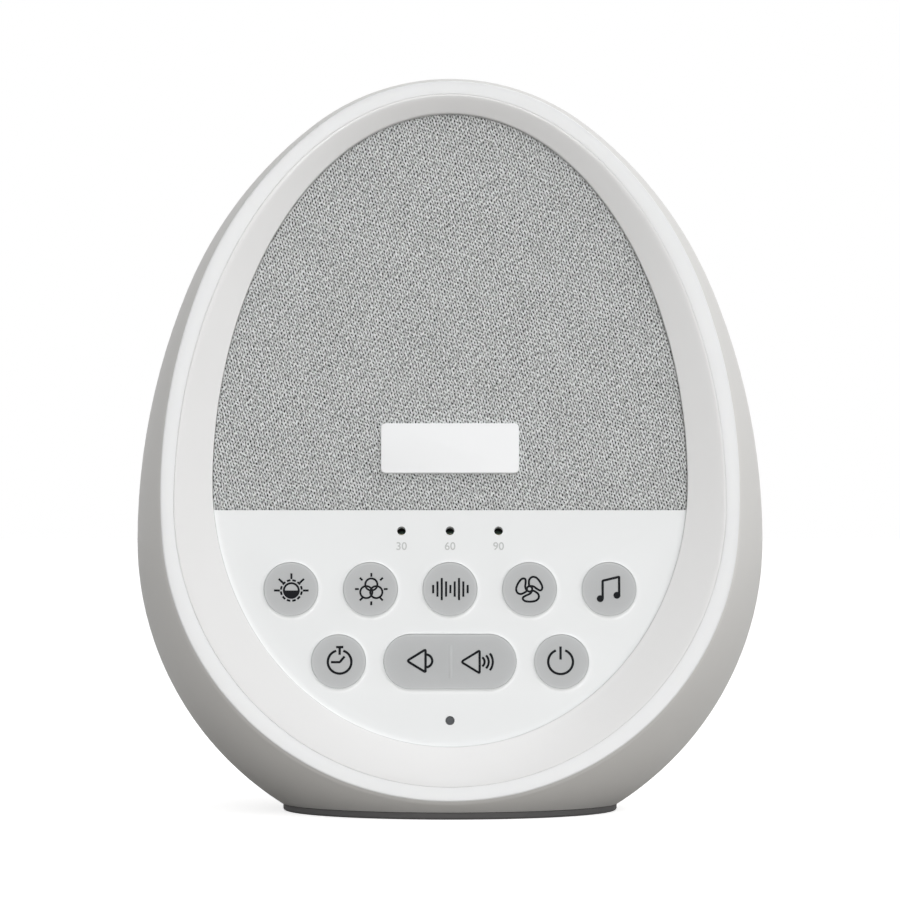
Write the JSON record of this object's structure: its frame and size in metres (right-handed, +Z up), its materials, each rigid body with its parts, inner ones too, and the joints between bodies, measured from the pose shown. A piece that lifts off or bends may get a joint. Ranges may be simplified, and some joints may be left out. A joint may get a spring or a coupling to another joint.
{
  "type": "white noise sound machine",
  "caption": "Egg-shaped bedside sound machine with a leaning face: light ring around a dished bezel, cloth speaker grille, soft keys, a volume rocker and a rubber pad.",
  "frame": {"origin": "centre of the rubber pad's underside", "axes": "+Z up, the face with the keys looks along -Y and leans back, +X is to the right of someone facing the keys, which is their right hand"},
  "size_m": [0.1134, 0.0905, 0.1328],
  "materials": {
    "housing": "fine moulded satin",
    "ring": "translucent white diffuser, satin",
    "bezel": "smooth satin",
    "panel": "smooth satin",
    "cloth": "fine knit",
    "nameplate": "satin, bare",
    "key": "soft silicone, matte",
    "pad": "matte foam rubber",
    "frame_plastic": "black moulded",
    "mat": "silicone",
    "circuit_board": "solder mask",
    "lamp": "moulded epoxy",
    "lens": "smoked, clear",
    "steel": "zinc plated",
    "ferrite": "sintered, matte",
    "cone": "pressed paper, black",
    "roll": "matte",
    "spider": "pleated, resin stiffened",
    "coil": "enamelled copper wire",
    "chip": "epoxy",
    "cell": "shrink sleeve",
    "shroud": "black",
    "gasket": "foam"
  },
  "bodies": {
    "housing": {"base_pad": "pad", "battery_cell": "cell", "bezel_screws": "steel", "board_chips": "chip", "charge_lamp": "lamp", "charge_lens": "lens", "control_panel": "panel", "dust_cap": "cone", "front_bezel": "bezel", "front_shell": "housing", "grille_cloth": "cloth", "grille_frame": "frame_plastic", "housing_screws": "steel", "key_board": "circuit_board", "key_board_screws": "steel", "keypad_mat": "mat", "lamp_shroud": "shroud", "light_board": "circuit_board", "light_ring": "ring", "magnet": "ferrite", "main_board": "circuit_board", "main_board_screws": "steel", "nameplate": "nameplate", "rear_shell": "housing", "ring_lamps": "lamp", "speaker_basket": "steel", "speaker_cone": "cone", "speaker_gasket": "gasket", "speaker_screws": "steel", "speaker_spider": "spider", "speaker_surround": "roll", "timer_lamps": "lamp", "top_plate": "steel", "usb_socket": "steel", "voice_coil": "coil", "yoke": "steel"},
    "brightness_key": {"brightness_key": "key"},
    "colour_key": {"colour_key": "key"},
    "noise_key": {"noise_key": "key"},
    "fan_key": {"fan_key": "key"},
    "music_key": {"music_key": "key"},
    "timer_key": {"timer_key": "key"},
    "power_key": {"power_key": "key"},
    "volume_rocker": {"volume_rocker": "key"}
  },
  "joints": [
    {"name": "brightness_press", "type": "slide", "parent": "housing", "child": "brightness_key", "axis": [0, 0.9806, -0.1959], "range_m": [0, 0.0009], "stiffness_N_per_m": 1300},
    {"name": "colour_press", "type": "slide", "parent": "housing", "child": "colour_key", "axis": [0, 0.9806, -0.1959], "range_m": [0, 0.0009], "stiffness_N_per_m": 1300},
    {"name": "noise_press", "type": "slide", "parent": "housing", "child": "noise_key", "axis": [0, 0.9806, -0.1959], "range_m": [0, 0.0009], "stiffness_N_per_m": 1300},
    {"name": "fan_press", "type": "slide", "parent": "housing", "child": "fan_key", "axis": [0, 0.9806, -0.1959], "range_m": [0, 0.0009], "stiffness_N_per_m": 1300},
    {"name": "music_press", "type": "slide", "parent": "housing", "child": "music_key", "axis": [0, 0.9806, -0.1959], "range_m": [0, 0.0009], "stiffness_N_per_m": 1300},
    {"name": "timer_press", "type": "slide", "parent": "housing", "child": "timer_key", "axis": [0, 0.9806, -0.1959], "range_m": [0, 0.0009], "stiffness_N_per_m": 1300},
    {"name": "power_press", "type": "slide", "parent": "housing", "child": "power_key", "axis": [0, 0.9806, -0.1959], "range_m": [0, 0.0009], "stiffness_N_per_m": 1300},
    {"name": "volume_rock", "type": "hinge", "parent": "housing", "child": "volume_rocker", "pos_m": [0, -0.02333, 0.0273], "axis": [0, 0.1959, 0.9806], "range_deg": [-3, 3], "stiffness_Nm_per_rad": 0.15}
  ]
}
